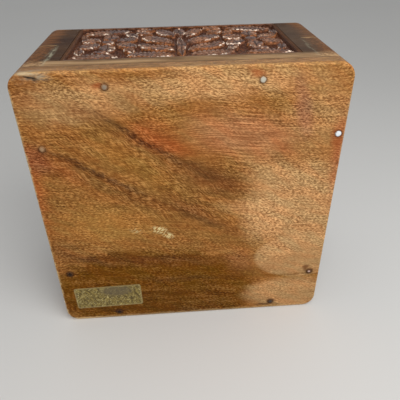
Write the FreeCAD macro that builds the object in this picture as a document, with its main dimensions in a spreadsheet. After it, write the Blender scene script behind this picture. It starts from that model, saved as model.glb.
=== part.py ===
"""Carved wooden puzzle box with an inset lid, two secret sliding panels and two hidden bolts.

Frame: millimetres, +Z up, origin at the middle of the base's underside. The front wall faces -Y.
The box stands closed and unlocked: panels down, bolts drawn back, lid shut.
"""
import FreeCAD, Part
import Sketcher
import math
import os
import re

SIZES = {
    # Carcass
    "box_side": 102.0,
    "box_height": 54.0,
    "base_thickness": 6.0,
    "wall_thickness": 9.0,
    "corner_radius": 5.0,
    "edge_round": 0.8,
    # Carved panels and the grooves they run in
    "panel_margin": 13.5,
    "panel_thickness": 4.5,
    "panel_sill": 5.5,
    "panel_hold": 12.5,
    "tongue_width": 1.6,
    "tongue_thickness": 1.6,
    "tongue_setback": 1.4,
    "slide_gap": 0.2,
    # Carving
    "carving_depth": 1.6,
    "carving_margin": 1.5,
    "carving_top_margin": 1.5,
    "lid_border": 9.0,
    # Lid, its pins and its ledges
    "lid_thickness": 7.0,
    "lid_gap": 0.4,
    "hinge_pin_diameter": 3.0,
    "hinge_pin_cover": 0.5,
    "hinge_pin_reach": 7.0,
    "running_gap": 0.05,
    "pin_end_gap": 0.3,
    "ledge_depth": 3.0,
    "ledge_height": 3.0,
    "ledge_front_gap": 2.0,
    "ledge_rear_gap": 14.0,
    "nick_radius": 9.0,
    "nick_reach": 3.0,
    "nick_depth": 1.5,
    # Hidden bolts, with their guides, knobs and catches
    "bolt_length": 30.0,
    "bolt_height": 7.0,
    "bolt_depth": 7.0,
    "bolt_travel": 6.0,
    "bolt_drop": 7.0,
    "bolt_gap": 0.3,
    "bolt_nose_round": 1.5,
    "front_bolt_place": 43.0,
    "right_bolt_place": 49.0,
    "knob_diameter": 5.0,
    "knob_seat": 3.5,
    "knob_chamfer": 0.6,
    "knob_sink": 0.4,
    "glue_gap": 0.05,
    "guide_length": 18.0,
    "guide_wall": 2.8,
    "catch_width": 12.0,
    "catch_setback": 4.0,
    "catch_spine": 3.3,
    "catch_lip": 4.0,
    "catch_gap": 0.4,
    "catch_clearance": 1.0,
    "dish_length": 24.0,
    "dish_height": 14.0,
    "dish_depth": 2.0,
    # Pegs that stop the sliding panels
    "peg_diameter": 4.0,
    "peg_drop": 5.0,
    "peg_inset": 10.5,
    "peg_slot_depth": 1.5,
    # Nails through the base
    "nail_head_diameter": 2.2,
    "nail_head_height": 0.7,
    "nail_shank": 1.2,
    "nail_point_length": 1.8,
    "nail_point_angle": 14.0,
    "nail_sink": 0.15,
    "nail_inset": 23.0,
    "nail_tip_cover": 0.8,
}

# Formulas that several pieces share
HALF = "(box_side / 2)"
INNER = "(box_side / 2 - wall_thickness)"
MID_HEIGHT = "((base_thickness + box_height) / 2)"
SILL = "(base_thickness + panel_sill)"
PANEL_TRAVEL = f"(box_height - {SILL} - panel_hold)"
WEB_FACE = f"({HALF} - panel_thickness - slide_gap)"
PANEL_HALF = f"({HALF} - panel_margin)"
RECESS_HALF = f"({PANEL_HALF} + slide_gap)"
LID_HALF = f"({INNER} - lid_gap)"
LID_UNDER = "(box_height - lid_thickness)"
PIVOT_Y = f"({LID_HALF} - lid_thickness / 2)"
PIVOT_Z = "(box_height - lid_thickness / 2)"
PIN_BORE = f"({WEB_FACE} - {INNER} - hinge_pin_cover)"
BOLT_TOP = f"({LID_UNDER} - bolt_drop)"
BOLT_LOW = f"({BOLT_TOP} - bolt_height)"
BOLT_MID = f"({BOLT_TOP} - bolt_height / 2)"
BOLT_NEAR = f"({INNER} - bolt_gap)"
BOLT_FAR = f"({BOLT_NEAR} - bolt_depth)"
PEG_ALONG = f"({PANEL_HALF} - peg_inset)"
PEG_HEIGHT = "(box_height - peg_drop)"
NAIL_LENGTH = f"({SILL} - nail_tip_cover - nail_sink)"

# Turn of each wall about Z, from the front wall's place
TURNS = {"front": 0, "right": 90, "back": 180, "left": -90}

# The two sliding panels, each with the way its bolt goes along the wall to lock
BOLT_HANDS = {"front": 1, "right": -1}

# Hand-driven nails: wall, side of its middle, shift along the wall, shift in from its mid-thickness
NAIL_SCATTER = (
    ("front", -1, 4.6, 0.4),
    ("front", 1, -4.9, -0.1),
    ("right", -1, 0.0, -2.3),
    ("right", 1, 3.6, -0.3),
    ("back", -1, -4.4, -0.8),
    ("back", 1, 2.0, -1.2),
    ("left", -1, 2.3, 0.4),
    ("left", 1, -0.9, 1.3),
)

# Carved leaves, drawn on a field of this width and height, then scaled to the real field
DRAWN_SIDE = (72.0, 39.5)
DRAWN_LID = (65.2, 65.2)

doc = FreeCAD.newDocument("PuzzleBox")
sheet = doc.addObject("Spreadsheet::Sheet", "Sizes")
for row, (name, number) in enumerate(SIZES.items(), start=1):
    sheet.set(f"A{row}", name)
    sheet.set(f"B{row}", str(number))
    sheet.setAlias(f"B{row}", name)
doc.recompute()


def in_sheet(formula):
    """The formula with every size name turned into a reference to the sheet."""
    return re.sub(r"[a-z][a-z_]+", lambda word: f"Sizes.{word.group()}", formula)


def bind(thing, target, formula):
    """Drive one property of an object by a formula in size names."""
    thing.setExpression(target, in_sheet(formula))


def size(name):
    """The number that the sheet holds for a size."""
    return float(sheet.get(name))


def new_body(label, turn=0):
    """An empty body, turned about Z to its wall's place."""
    body = doc.addObject("PartDesign::Body", label)
    body.Label = label
    body.Placement = FreeCAD.Placement(FreeCAD.Vector(), FreeCAD.Rotation(FreeCAD.Vector(0, 0, 1), turn))
    return body


def new_sketch(body, name, role, offset=None):
    """A sketch on one of the body's origin planes, moved along the plane's normal by a formula."""
    sketch = body.newObject("Sketcher::SketchObject", f"{body.Name}_{name}")
    plane = next(feature for feature in body.Origin.OriginFeatures if feature.Role == role)
    sketch.AttachmentSupport = [(plane, "")]
    sketch.MapMode = "FlatFace"
    if offset:
        bind(sketch, "AttachmentOffset.Base.z", offset)
    return sketch


def pin_point(sketch, element, position, across, up):
    """Fix a point of the sketch by formulas for its two coordinates."""
    for kind, formula in (("DistanceX", across), ("DistanceY", up)):
        index = sketch.addConstraint(Sketcher.Constraint(kind, -1, 1, element, position, 1.0))
        bind(sketch, f"Constraints[{index}]", formula)


def add_outline(sketch, corners, round_sides=()):
    """A closed outline, anticlockwise, with each corner given by two formulas.

    Side n runs from corner n to the next; the round sides are half circles that swell outwards.
    The corners are construction points, solved first so that the sides start in their places.
    """
    points = [sketch.addGeometry(Part.Point(FreeCAD.Vector(step, step)), True)
              for step in range(len(corners))]
    for point, (across, up) in zip(points, corners):
        pin_point(sketch, point, 1, across, up)
    doc.recompute()
    for step, start in enumerate(points):
        end = points[(step + 1) % len(points)]
        tail, head = sketch.getPoint(start, 1), sketch.getPoint(end, 1)
        if step in round_sides:
            middle = (tail + head) / 2
            circle = Part.Circle(middle, FreeCAD.Vector(0, 0, 1), (tail - middle).Length)
            angle = math.atan2(tail.y - middle.y, tail.x - middle.x)
            side = sketch.addGeometry(Part.ArcOfCircle(circle, angle, angle + math.pi))
            alignment = "Vertical" if abs(tail.x - head.x) < abs(tail.y - head.y) else "Horizontal"
            sketch.addConstraint(Sketcher.Constraint(alignment, side, 3, start, 1))
        else:
            side = sketch.addGeometry(Part.LineSegment(tail, head))
        sketch.addConstraint(Sketcher.Constraint("Coincident", side, 1, start, 1))
        sketch.addConstraint(Sketcher.Constraint("Coincident", side, 2, end, 1))


def add_rectangle(sketch, left, right, low, high):
    """A rectangle given by formulas for its four sides."""
    add_outline(sketch, [(left, low), (right, low), (right, high), (left, high)])


def add_square(sketch, across, up, side):
    """A square given by formulas for its centre and side."""
    add_rectangle(sketch, f"({across} - ({side}) / 2)", f"({across} + ({side}) / 2)",
                  f"({up} - ({side}) / 2)", f"({up} + ({side}) / 2)")


def add_circle(sketch, across, up, diameter):
    """A circle given by formulas for its centre and diameter."""
    element = sketch.addGeometry(Part.Circle(FreeCAD.Vector(), FreeCAD.Vector(0, 0, 1), 1.0))
    index = sketch.addConstraint(Sketcher.Constraint("Diameter", element, 2.0))
    bind(sketch, f"Constraints[{index}]", diameter)
    pin_point(sketch, element, 3, across, up)


def add_slot(sketch, start, end, width, across=None, up=None):
    """A round-ended slot between two centres, along the axis whose place isn't given."""
    if up:
        low, high = f"({up} - ({width}) / 2)", f"({up} + ({width}) / 2)"
        corners = [(start, low), (end, low), (end, high), (start, high)]
    else:
        left, right = f"({across} - ({width}) / 2)", f"({across} + ({width}) / 2)"
        corners = [(right, start), (right, end), (left, end), (left, start)]
    add_outline(sketch, corners, round_sides=(1, 3))


def add_feature(body, kind, name, sketch, length=None, reverse=False):
    """A Pad or Pocket of a sketch; a Pocket without a length cuts through all."""
    feature = body.newObject(f"PartDesign::{kind}", f"{body.Name}_{name}")
    feature.Profile = sketch
    feature.Reversed = reverse
    if length:
        bind(feature, "Length", length)
    else:
        feature.Type = "ThroughAll"
    doc.recompute()
    return feature


def pad(body, name, sketch, length, reverse=False):
    """Material added along the sketch's normal, checked to have grown the body."""
    before = body.Shape.Volume if body.Tip else 0.0
    feature = add_feature(body, "Pad", name, sketch, length, reverse)
    if body.Shape.Volume <= before:
        raise RuntimeError(f"{feature.Name} added nothing")
    return feature


def pocket(body, name, sketch, length=None, reverse=False):
    """Material cut against the sketch's normal, checked to have shrunk the body."""
    before = body.Shape.Volume
    feature = add_feature(body, "Pocket", name, sketch, length, reverse)
    if body.Shape.Volume >= before:
        raise RuntimeError(f"{feature.Name} cut nothing")
    return feature


def ease_edges(body, kind, name, amount, wanted):
    """A Fillet or Chamfer on the edges of the body's tip whose bounding boxes pass the test."""
    base = body.Tip
    edges = [f"Edge{number}" for number, edge in enumerate(base.Shape.Edges, start=1)
             if wanted(edge.BoundBox)]
    feature = body.newObject(f"PartDesign::{kind}", f"{body.Name}_{name}")
    feature.Base = (base, edges)
    bind(feature, "Radius" if kind == "Fillet" else "Size", amount)
    doc.recompute()
    return feature


def near(first, second):
    """Whether two lengths are the same, apart from rounding."""
    return abs(first - second) < 1e-4


def make_base():
    """Base board with rounded corners, an eased lower edge and a hole for each nail."""
    body = new_body("base_board")
    outline = new_sketch(body, "outline", "XY_Plane")
    add_rectangle(outline, f"-{HALF}", HALF, f"-{HALF}", HALF)
    pad(body, "board", outline, "base_thickness")
    ease_edges(body, "Fillet", "corners", "corner_radius",
               lambda box: near(box.ZLength, size("base_thickness")))
    ease_edges(body, "Fillet", "lower_edge", "edge_round", lambda box: near(box.ZMax, 0.0))
    shanks = new_sketch(body, "shanks", "XY_Plane")
    heads = new_sketch(body, "heads", "XY_Plane")
    for across, up in nail_places():
        add_square(shanks, across, up, "nail_shank + 2 * glue_gap")
        add_circle(heads, across, up, "nail_head_diameter + 2 * glue_gap")
    pocket(body, "shank_holes", shanks, reverse=True)
    pocket(body, "head_holes", heads, "nail_sink + nail_head_height", reverse=True)
    return body


def nail_in_wall(side, along, inward):
    """Formulas for a nail's place in its own wall's frame, where the wall faces -Y."""
    across = f"({side} * ({HALF} - nail_inset) + {along})"
    up = f"(-{HALF} + wall_thickness / 2 + {inward})"
    return across, up


def nail_places():
    """Formulas for the place of every nail in the box's frame."""
    places = []
    for wall, side, along, inward in NAIL_SCATTER:
        across, up = nail_in_wall(side, along, inward)
        turned = {0: (across, up), 90: (f"-{up}", across),
                  180: (f"-{across}", f"-{up}"), -90: (up, f"-{across}")}
        places.append(turned[TURNS[wall]])
    return places


def make_nails():
    """Eight nails as one group of separate solids."""
    nail = new_body("nail")
    head = new_sketch(nail, "head_plan", "XY_Plane", "nail_sink")
    add_circle(head, "0", "0", "nail_head_diameter")
    pad(nail, "head", head, "nail_head_height")
    shank = new_sketch(nail, "shank_plan", "XY_Plane", "nail_sink")
    add_square(shank, "0", "0", "nail_shank")
    pad(nail, "shank", shank, f"{NAIL_LENGTH} - nail_point_length")
    point = new_sketch(nail, "point_plan", "XY_Plane", f"nail_sink + {NAIL_LENGTH} - nail_point_length")
    add_square(point, "0", "0", "nail_shank")
    tapered = pad(nail, "point", point, "nail_point_length")
    bind(tapered, "TaperAngle", "-nail_point_angle")
    doc.recompute()
    copies = []
    for wall, side, along, inward in NAIL_SCATTER:
        across = side * (size("box_side") / 2 - size("nail_inset")) + along
        up = -size("box_side") / 2 + size("wall_thickness") / 2 + inward
        spin = FreeCAD.Rotation(FreeCAD.Vector(0, 0, 1), TURNS[wall])
        copy = nail.Shape.copy()
        copy.Placement = FreeCAD.Placement(spin.multVec(FreeCAD.Vector(across, up)), FreeCAD.Rotation())
        copies.append(copy)
    group = doc.addObject("Part::Feature", "base_nails")
    group.Label = "base_nails"
    group.Shape = Part.makeCompound(copies)
    group.Placement = FreeCAD.Placement()
    return group


def panel_outline(sketch, half_width, back, tongue_half, tongue_front, tongue_back):
    """Plan of a panel, or of its recess: a plate on the outer face with a tongue on each side."""
    face = f"-{HALF}"
    right = [(half_width, face), (half_width, tongue_front), (tongue_half, tongue_front),
             (tongue_half, tongue_back), (half_width, tongue_back), (half_width, back)]
    left = [(f"-{across}", up) for across, up in reversed(right)]
    add_outline(sketch, right + left)


def make_wall(name):
    """Wall board with a long finger on each end, a grooved recess for its panel and nail holes."""
    body = new_body(f"{name}_wall", TURNS[name])
    long_above = name in ("front", "back")
    lower_half, upper_half = (INNER, HALF) if long_above else (HALF, INNER)
    for label, half, low, high in (("lower", lower_half, "base_thickness", MID_HEIGHT),
                                   ("upper", upper_half, MID_HEIGHT, "box_height")):
        plan = new_sketch(body, f"{label}_plan", "XY_Plane", low)
        add_rectangle(plan, f"-{half}", half, f"-{HALF}", f"-{INNER}")
        pad(body, f"{label}_half", plan, f"{high} - {low}")
    half_side = size("box_side") / 2
    ease_edges(body, "Fillet", "corners", "corner_radius",
               lambda box: box.ZLength > 1 and near(box.XLength, 0)
               and near(abs(box.XMin), half_side) and near(box.YMax, -half_side))
    recess = new_sketch(body, "recess_plan", "XY_Plane", SILL)
    panel_outline(recess, RECESS_HALF, f"-{WEB_FACE}", f"({RECESS_HALF} + tongue_width)",
                  f"(-{HALF} + tongue_setback - slide_gap)",
                  f"(-{HALF} + tongue_setback + tongue_thickness + slide_gap)")
    pocket(body, "recess", recess, "box_height", reverse=True)
    nails = new_sketch(body, "nail_plan", "XY_Plane", "base_thickness")
    for wall, side, along, inward in NAIL_SCATTER:
        if wall == name:
            across, up = nail_in_wall(side, along, inward)
            add_square(nails, across, up, "nail_shank + 2 * glue_gap")
    depth = f"nail_sink + {NAIL_LENGTH} - base_thickness + glue_gap"
    pocket(body, "nail_holes", nails, depth, reverse=True)
    if name in BOLT_HANDS:
        cut_bolt_openings(body, name)
    if name in ("left", "right"):
        hand = 1 if name == "right" else -1
        bore = new_sketch(body, "hinge_bore_plan", "XZ_Plane", INNER)
        add_circle(bore, f"{hand} * {PIVOT_Y}", PIVOT_Z, "hinge_pin_diameter + 2 * glue_gap")
        pocket(body, "hinge_bore", bore, PIN_BORE, reverse=True)
    return body


def bolt_centre(name):
    """Formula for the middle of a wall's bolt at rest, along the wall."""
    return f"({name}_bolt_place - {HALF})"


def cut_bolt_openings(body, name):
    """Finger dish, knob slot and peg hole in the thin web behind a sliding panel."""
    centre = bolt_centre(name)
    locked = f"({centre} + {BOLT_HANDS[name]} * bolt_travel)"
    ends = (centre, locked) if BOLT_HANDS[name] > 0 else (locked, centre)
    dish = new_sketch(body, "dish_plan", "XZ_Plane", WEB_FACE)
    middle = f"({centre} + {BOLT_HANDS[name]} * bolt_travel / 2)"
    reach = "(dish_length - dish_height) / 2"
    add_slot(dish, f"{middle} - {reach}", f"{middle} + {reach}", "dish_height", up=BOLT_MID)
    pocket(body, "dish", dish, "dish_depth")
    slot = new_sketch(body, "slot_plan", "XZ_Plane", WEB_FACE)
    add_slot(slot, *ends, "knob_diameter + 2 * bolt_gap", up=BOLT_MID)
    pocket(body, "slot", slot)
    hole = new_sketch(body, "peg_plan", "XZ_Plane", WEB_FACE)
    add_circle(hole, PEG_ALONG, PEG_HEIGHT, "peg_diameter + 2 * glue_gap")
    pocket(body, "peg_hole", hole)


def leaf_outline(base, angle, length, width):
    """Corners of a pointed leaf, from its base round to its tip and back."""
    forward = FreeCAD.Vector(math.cos(math.radians(angle)), math.sin(math.radians(angle)))
    aside = FreeCAD.Vector(-forward.y, forward.x)
    shape = ((0, 0), (0.3, -0.42), (0.7, -0.42), (1, 0), (0.7, 0.42), (0.3, 0.42))
    return [base + forward * (length * along) + aside * (width * out) for along, out in shape]


def flower_outlines(centre, petals, start, length, width, button, first_angle=0.0):
    """A ring of petals round a button with as many corners."""
    outlines = []
    corners = []
    for step in range(petals):
        angle = first_angle + 360.0 * step / petals
        outward = FreeCAD.Vector(math.cos(math.radians(angle)), math.sin(math.radians(angle)))
        outlines.append(leaf_outline(centre + outward * start, angle, length, width))
        corners.append(centre + outward * button)
    return outlines + [corners]


def side_ornament():
    """A stem with paired leaves between two flowers, alike on both sides of the middle."""
    outlines = [leaf_outline(FreeCAD.Vector(0, -18.6), 90, 25.0, 2.8),
                leaf_outline(FreeCAD.Vector(0, 8.4), 90, 10.4, 3.0)]
    pairs = ((2.0, -16.6, 10, 15.2, 5.4), (2.2, -9.6, 24, 13.2, 5.2), (2.2, -1.8, 40, 14.8, 5.4),
             (2.1, 7.8, 60, 11.4, 4.6), (19.8, -16.4, 0, 14.8, 4.6), (17.0, 17.0, -10, 17.0, 4.6))
    for across, up, angle, length, width in pairs:
        outlines.append(leaf_outline(FreeCAD.Vector(across, up), angle, length, width))
        outlines.append(leaf_outline(FreeCAD.Vector(-across, up), 180 - angle, length, width))
    for side in (-1, 1):
        outlines += flower_outlines(FreeCAD.Vector(25.0 * side, 0.2), 6, 3.1, 7.2, 5.0, 2.4, 30)
    return outlines


def lid_ornament():
    """A large flower with a ring of leaves, and sprays in the four corners."""
    outlines = flower_outlines(FreeCAD.Vector(), 8, 4.2, 11.0, 6.0, 3.0)
    for step in range(8):
        angle = 22.5 + 45.0 * step
        outward = FreeCAD.Vector(math.cos(math.radians(angle)), math.sin(math.radians(angle)))
        outlines.append(leaf_outline(outward * 12.6, angle, 9.0, 5.0))
    quarter = ((21.4, 21.4, 45, 12.0, 5.2), (19.0, 25.0, 157, 15.0, 4.6), (25.0, 19.0, -67, 15.0, 4.6),
               (18.2, 0.0, 0, 12.4, 5.0))
    for step in range(4):
        turn = FreeCAD.Rotation(FreeCAD.Vector(0, 0, 1), 90.0 * step)
        for across, up, angle, length, width in quarter:
            base = turn.multVec(FreeCAD.Vector(across, up))
            outlines.append(leaf_outline(base, angle + 90.0 * step, length, width))
    return outlines


def add_ornament(sketch, outlines, drawn, field, centre):
    """Carved outlines scaled from their drawn field to the real one and fixed in the sketch."""
    scale = min(field[0] / drawn[0], field[1] / drawn[1])
    for outline in outlines:
        corners = [centre + corner * scale for corner in outline]
        for start, end in zip(corners, corners[1:] + corners[:1]):
            side = sketch.addGeometry(Part.LineSegment(start, end))
            sketch.addConstraint(Sketcher.Constraint("Block", side))


def make_panel(name):
    """Carved panel with tongues; a sliding one has a slot in its back for the stop peg."""
    body = new_body(f"{name}_panel", TURNS[name])
    plan = new_sketch(body, "plan", "XY_Plane", SILL)
    panel_outline(plan, PANEL_HALF, f"(-{HALF} + panel_thickness)", f"({PANEL_HALF} + tongue_width)",
                  f"(-{HALF} + tongue_setback)", f"(-{HALF} + tongue_setback + tongue_thickness)")
    pad(body, "board", plan, f"box_height - {SILL}")
    if name in BOLT_HANDS:
        slot = new_sketch(body, "slot_plan", "XZ_Plane", f"({HALF} - panel_thickness)")
        add_slot(slot, f"{PEG_HEIGHT} - {PANEL_TRAVEL}", PEG_HEIGHT, "peg_diameter + 2 * bolt_gap",
                 across=PEG_ALONG)
        pocket(body, "slot", slot, "peg_slot_depth", reverse=True)
    carving = new_sketch(body, "carving", "XZ_Plane", HALF)
    half = f"({PANEL_HALF} - carving_margin)"
    low = f"({SILL} + carving_margin)"
    high = "(box_height - carving_top_margin)"
    add_rectangle(carving, f"-{half}", half, low, high)
    bottom = size("base_thickness") + size("panel_sill") + size("carving_margin")
    top = size("box_height") - size("carving_top_margin")
    field = (size("box_side") - 2 * (size("panel_margin") + size("carving_margin")), top - bottom)
    add_ornament(carving, side_ornament(), DRAWN_SIDE, field, FreeCAD.Vector(0, (bottom + top) / 2))
    pocket(body, "carved_ground", carving, "carving_depth")
    return body


def make_lid():
    """Inset lid, rounded about its hinge axis at the back, carved on top, with a thumb nick."""
    body = new_body("lid_board")
    side = new_sketch(body, "side_profile", "YZ_Plane", f"-{LID_HALF}")
    add_outline(side, [(f"-{LID_HALF}", LID_UNDER), (PIVOT_Y, LID_UNDER), (PIVOT_Y, "box_height"),
                       (f"-{LID_HALF}", "box_height")], round_sides=(1,))
    pad(body, "board", side, f"2 * {LID_HALF}")
    for label, sign in (("left", -1), ("right", 1)):
        bore = new_sketch(body, f"{label}_bore_plan", "YZ_Plane", f"{sign} * {LID_HALF}")
        add_circle(bore, PIVOT_Y, PIVOT_Z, "hinge_pin_diameter + 2 * running_gap")
        pocket(body, f"{label}_bore", bore, "hinge_pin_reach + pin_end_gap", reverse=sign < 0)
    carving = new_sketch(body, "carving", "XY_Plane", "box_height")
    half = f"({LID_HALF} - lid_border)"
    add_rectangle(carving, f"-{half}", half, f"-{half}", half)
    width = size("box_side") - 2 * (size("wall_thickness") + size("lid_gap") + size("lid_border"))
    add_ornament(carving, lid_ornament(), DRAWN_LID, (width, width), FreeCAD.Vector())
    pocket(body, "carved_ground", carving, "carving_depth")
    nick = new_sketch(body, "nick_plan", "XY_Plane", "box_height")
    add_circle(nick, "0", f"-{LID_HALF} + nick_reach - nick_radius", "2 * nick_radius")
    pocket(body, "nick", nick, "nick_depth")
    return body


def make_hinge_pin(name):
    """Steel pin, fast in a blind bore of the side wall and running in the lid."""
    body = new_body(f"{name}_hinge_pin", TURNS[name])
    hand = 1 if name == "right" else -1
    end = new_sketch(body, "end", "XZ_Plane", f"{INNER} + {PIN_BORE} - pin_end_gap")
    add_circle(end, f"{hand} * {PIVOT_Y}", PIVOT_Z, "hinge_pin_diameter")
    pad(body, "shaft", end, f"{PIN_BORE} - pin_end_gap + lid_gap + hinge_pin_reach", reverse=True)
    return body


def make_ledge(name):
    """Strip on a side wall that carries the closed lid."""
    body = new_body(f"{name}_ledge")
    wall = f"-{INNER}" if name == "left" else INNER
    free = f"(-{INNER} + ledge_depth)" if name == "left" else f"({INNER} - ledge_depth)"
    left, right = (wall, free) if name == "left" else (free, wall)
    plan = new_sketch(body, "plan", "XY_Plane", f"{LID_UNDER} - ledge_height")
    add_rectangle(plan, left, right, f"(-{INNER} + ledge_front_gap)", f"({INNER} - ledge_rear_gap)")
    pad(body, "strip", plan, "ledge_height")
    return body


def make_bolt(name):
    """Wooden bolt with a rounded nose and a blind hole for its knob."""
    body = new_body(f"{name}_bolt", TURNS[name])
    centre = bolt_centre(name)
    plan = new_sketch(body, "plan", "XY_Plane", BOLT_LOW)
    add_rectangle(plan, f"{centre} - bolt_length / 2", f"{centre} + bolt_length / 2",
                  f"-{BOLT_NEAR}", f"-{BOLT_FAR}")
    pad(body, "bar", plan, "bolt_height")
    hand = BOLT_HANDS[name]
    box = body.Shape.BoundBox
    middle = size(f"{name}_bolt_place") - size("box_side") / 2
    nose = middle + hand * size("bolt_length") / 2
    ease_edges(body, "Fillet", "nose", "bolt_nose_round",
               lambda edge: near(edge.ZLength, box.ZLength) and near((edge.XMin + edge.XMax) / 2, nose))
    hole = new_sketch(body, "knob_plan", "XZ_Plane", BOLT_NEAR)
    add_circle(hole, centre, BOLT_MID, "knob_diameter + 2 * glue_gap")
    pocket(body, "knob_hole", hole, "knob_seat + pin_end_gap")
    return body


def make_knob(name):
    """Dowel fast in the bolt; its eased end stands in the finger dish behind the panel."""
    body = new_body(f"{name}_bolt_knob", TURNS[name])
    inner_end = f"({BOLT_NEAR} - knob_seat)"
    end = new_sketch(body, "end", "XZ_Plane", inner_end)
    add_circle(end, bolt_centre(name), BOLT_MID, "knob_diameter")
    pad(body, "dowel", end, f"{WEB_FACE} - knob_sink - {inner_end}")
    lowest = body.Tip.Shape.BoundBox.YMin
    ease_edges(body, "Chamfer", "eased_end", "knob_chamfer",
               lambda edge: near(edge.YMin, lowest) and near(edge.YMax, lowest))
    return body


def make_guide(name):
    """Channel-shaped block, glued to the wall, in which the bolt slides."""
    body = new_body(f"{name}_bolt_guide", TURNS[name])
    section = new_sketch(body, "section", "YZ_Plane", f"{bolt_centre(name)} - guide_length / 2")
    wall = f"-{INNER}"
    floor = f"(-{BOLT_FAR} + bolt_gap)"
    back = f"({floor} + guide_wall)"
    low = f"({BOLT_LOW} - bolt_gap)"
    high = f"({BOLT_TOP} + bolt_gap)"
    add_outline(section, [(wall, f"{low} - guide_wall"), (back, f"{low} - guide_wall"),
                          (back, f"{high} + guide_wall"), (wall, f"{high} + guide_wall"),
                          (wall, high), (floor, high), (floor, low), (wall, low)])
    pad(body, "channel", section, "guide_length")
    return body


def make_catch(name):
    """Hook under the lid, open towards the wall, that the bolt's nose slides into."""
    body = new_body(f"{name}_catch", TURNS[name])
    hand = BOLT_HANDS[name]
    near_face = f"({bolt_centre(name)} + {hand} * (bolt_length / 2 + catch_clearance))"
    start = near_face if hand > 0 else f"({near_face} - catch_width)"
    section = new_sketch(body, "section", "YZ_Plane", start)
    front = f"(-{INNER} + catch_setback)"
    floor = f"(-{BOLT_FAR} + catch_gap)"
    back = f"({floor} + catch_spine)"
    low = f"({BOLT_LOW} - catch_gap)"
    high = f"({BOLT_TOP} + catch_gap)"
    add_outline(section, [(front, f"{low} - catch_lip"), (back, f"{low} - catch_lip"), (back, LID_UNDER),
                          (front, LID_UNDER), (front, high), (floor, high), (floor, low), (front, low)])
    pad(body, "hook", section, "catch_width")
    return body


def make_peg(name):
    """Dowel in the web that stands in the panel's slot and ends its travel."""
    body = new_body(f"{name}_stop_peg", TURNS[name])
    end = new_sketch(body, "end", "XZ_Plane", INNER)
    add_circle(end, PEG_ALONG, PEG_HEIGHT, "peg_diameter")
    pad(body, "dowel", end, f"{WEB_FACE} - {INNER} + peg_slot_depth - bolt_gap")
    return body


parts = [make_base(), make_nails(), make_lid()]
parts += [make_wall(name) for name in TURNS]
parts += [make_panel(name) for name in TURNS]
parts += [make_hinge_pin(name) for name in ("left", "right")]
parts += [make_ledge(name) for name in ("left", "right")]
for make in (make_bolt, make_knob, make_guide, make_catch, make_peg):
    parts += [make(name) for name in BOLT_HANDS]
doc.recompute()

for thing in doc.Objects:
    if "Invalid" in thing.State or "Error" in thing.State:
        raise RuntimeError(f"{thing.Name} failed: {thing.State}")
for piece in parts:
    if piece.Shape.isNull() or not piece.Shape.isValid():
        raise RuntimeError(f"{piece.Label} has no valid shape")

os.makedirs("parts", exist_ok=True)
for piece in parts:
    piece.Shape.exportStep(f"parts/{piece.Label}.step")
    print(piece.Label, len(piece.Shape.Solids), round(piece.Shape.Volume, 1))
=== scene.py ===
import math

import bmesh
import bpy
import numpy as np
from mathutils import Matrix, Quaternion, Vector


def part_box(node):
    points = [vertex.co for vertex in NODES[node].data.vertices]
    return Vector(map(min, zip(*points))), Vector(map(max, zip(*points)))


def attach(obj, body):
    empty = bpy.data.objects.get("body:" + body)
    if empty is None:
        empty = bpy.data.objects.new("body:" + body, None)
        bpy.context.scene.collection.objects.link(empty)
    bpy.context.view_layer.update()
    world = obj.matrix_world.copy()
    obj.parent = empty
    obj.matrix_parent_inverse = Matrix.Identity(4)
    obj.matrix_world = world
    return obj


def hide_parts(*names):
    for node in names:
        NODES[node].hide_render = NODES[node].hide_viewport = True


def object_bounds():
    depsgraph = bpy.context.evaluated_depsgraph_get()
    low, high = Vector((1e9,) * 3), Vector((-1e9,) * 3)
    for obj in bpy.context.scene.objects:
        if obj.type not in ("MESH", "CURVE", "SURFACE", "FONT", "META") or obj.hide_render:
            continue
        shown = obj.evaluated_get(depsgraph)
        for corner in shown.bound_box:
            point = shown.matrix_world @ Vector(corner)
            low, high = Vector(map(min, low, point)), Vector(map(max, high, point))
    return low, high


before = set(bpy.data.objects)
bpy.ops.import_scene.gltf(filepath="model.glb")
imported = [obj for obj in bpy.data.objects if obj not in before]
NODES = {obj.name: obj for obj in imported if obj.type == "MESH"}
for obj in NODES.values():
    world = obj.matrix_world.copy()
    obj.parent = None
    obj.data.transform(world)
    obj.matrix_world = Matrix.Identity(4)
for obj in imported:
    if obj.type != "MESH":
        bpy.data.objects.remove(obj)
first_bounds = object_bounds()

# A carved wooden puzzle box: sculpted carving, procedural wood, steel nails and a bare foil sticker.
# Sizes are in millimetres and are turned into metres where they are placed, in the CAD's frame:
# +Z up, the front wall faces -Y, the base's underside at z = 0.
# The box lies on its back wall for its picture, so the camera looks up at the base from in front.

# Pieces and sizes taken from the frame
MM = 0.001
BOX_LOW = first_bounds[0] / MM
BOX_HIGH = first_bounds[1] / MM
HALF_SIDE = (BOX_HIGH.x - BOX_LOW.x) / 2
BASE_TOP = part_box("base_board")[1].z / MM
INNER = -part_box("front_wall")[1].y / MM
FINGER_EDGE = (BASE_TOP + BOX_HIGH.z) / 2
SAME_PLACE = 1e-3

# Turn of each wall about Z from the front wall's place, the axis of its grain, and its seed
TURNS = {"front": 0, "right": 90, "back": 180, "left": -90}
GRAIN_AXES = {"front": "X", "back": "X", "left": "Y", "right": "Y"}
SEEDS = {"front": 1, "right": 2, "back": 3, "left": 4}
LID_SEED = 5
SLIDING = ("front", "right")

# Carving: depths of its ground and of its leaves, margins, cells of its mesh, and its scalloped top
CARVING_DEPTH = 1.6
CARVING_TOP_DEPTH = 0.12
CARVING_MARGIN = 0.7
CARVING_TOP_MARGIN = 0.6
CARVING_SLOPE = 0.7
CARVING_CELL = 0.26
LID_BORDER = 9.0
LID_CELL = 0.34
SHARP_ANGLE = 62
SCALLOP_PITCH = 4.5
SCALLOP_DEPTH = 1.3

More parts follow.
